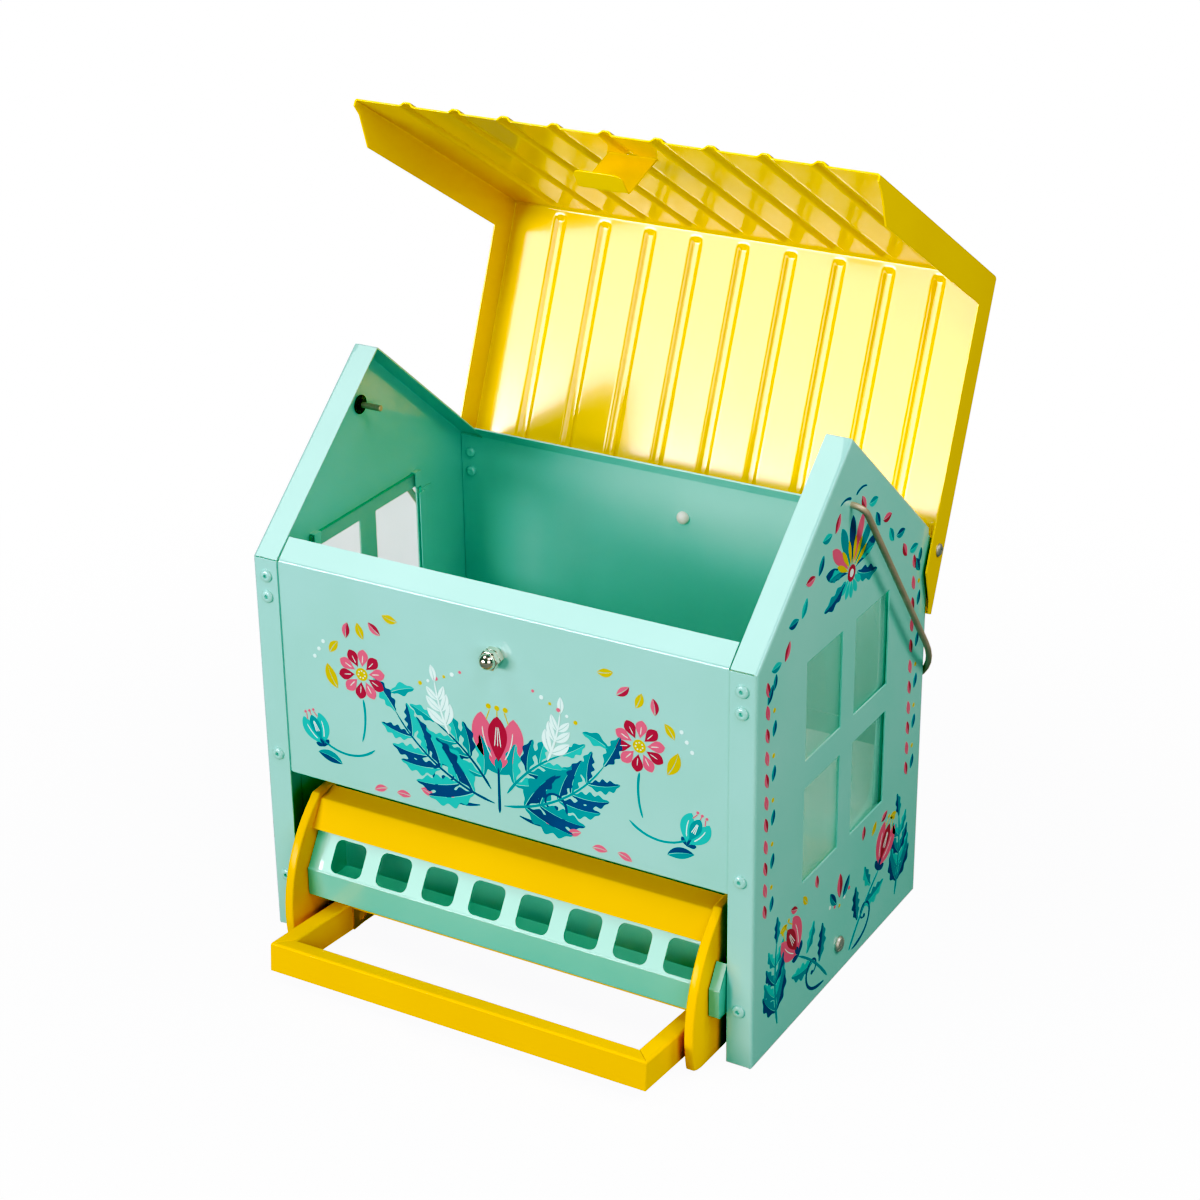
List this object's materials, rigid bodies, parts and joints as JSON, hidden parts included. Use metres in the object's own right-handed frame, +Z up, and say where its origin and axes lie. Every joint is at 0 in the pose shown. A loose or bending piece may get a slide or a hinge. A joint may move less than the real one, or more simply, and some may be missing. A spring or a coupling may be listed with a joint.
{
  "type": "bird feeder",
  "caption": "House-shaped hopper bird feeder in folded sheet metal, with a hinged ribbed roof, a weight-tripped feeding gate with a frame perch, windows and a wire bail.",
  "frame": {"origin": "middle of the housing's footprint, on the surface it stands on", "axes": "+Z up, -Y to the front where the perch is, +X to the right of someone facing the front; the lid, the gate and the bail all turn about +X"},
  "size_m": [0.3176, 0.3316, 0.4482],
  "materials": {
    "mint_paint": "gloss powder coat",
    "yellow_paint": "gloss powder coat",
    "clear_pane": "clear, polished",
    "dark_steel": "dull drawn wire",
    "bright_steel": "zinc plated",
    "chrome": "polished",
    "white_plastic": "smooth"
  },
  "bodies": {
    "housing": {"side_panel_left": "mint_paint", "side_panel_right": "mint_paint", "front_panel": "mint_paint", "rear_panel": "mint_paint", "hopper_floor": "mint_paint", "throat_baffle": "mint_paint", "seed_tray": "mint_paint", "bottom_brace": "mint_paint", "pane_left": "clear_pane", "pane_right": "clear_pane", "pane_channels_left": "mint_paint", "pane_channels_right": "mint_paint", "pane_clips_left": "dark_steel", "pane_clips_right": "dark_steel", "rivets_front": "mint_paint", "rivets_rear": "mint_paint", "rivets_brace": "mint_paint", "latch_stud": "bright_steel", "latch_nut": "bright_steel", "latch_acorn": "chrome", "rear_plug": "white_plastic", "axle_rod": "bright_steel", "axle_screw_left": "bright_steel", "axle_screw_right": "bright_steel", "hinge_bracket_left": "mint_paint", "hinge_bracket_right": "mint_paint"},
    "lid": {"lid_shell": "yellow_paint", "hinge_rivet_left": "bright_steel", "hinge_rivet_right": "bright_steel", "hinge_washer_left": "white_plastic", "hinge_washer_right": "white_plastic"},
    "latch": {"latch_hook": "yellow_paint"},
    "bail": {"bail_wire": "dark_steel", "push_nut_left": "dark_steel", "push_nut_right": "dark_steel"},
    "gate": {"gate_bar": "yellow_paint", "cheek_left": "yellow_paint", "cheek_right": "yellow_paint", "cross_bar": "yellow_paint", "perch_rail": "yellow_paint", "perch_arm_left": "yellow_paint", "perch_arm_right": "yellow_paint", "arm_rivet_left": "bright_steel", "arm_rivet_right": "bright_steel", "counterweight": "bright_steel", "weight_screw_left": "bright_steel", "weight_screw_right": "bright_steel"}
  },
  "joints": [
    {"name": "lid_hinge", "type": "hinge", "parent": "housing", "child": "lid", "pos_m": [0, 0.1094, 0.2116], "axis": [1, 0, 0], "range_deg": [0, 72]},
    {"name": "latch_swing", "type": "hinge", "parent": "lid", "child": "latch", "pos_m": [0, 0.04768, 0.42818], "axis": [1, 0, 0], "range_deg": [-15, 0]},
    {"name": "bail_swing", "type": "hinge", "parent": "housing", "child": "bail", "pos_m": [0, 0, 0.2786], "axis": [1, 0, 0], "range_deg": [0, 60]},
    {"name": "gate_pivot", "type": "hinge", "parent": "housing", "child": "gate", "pos_m": [0, 0, 0.02], "axis": [1, 0, 0], "range_deg": [0, 10.5]}
  ]
}
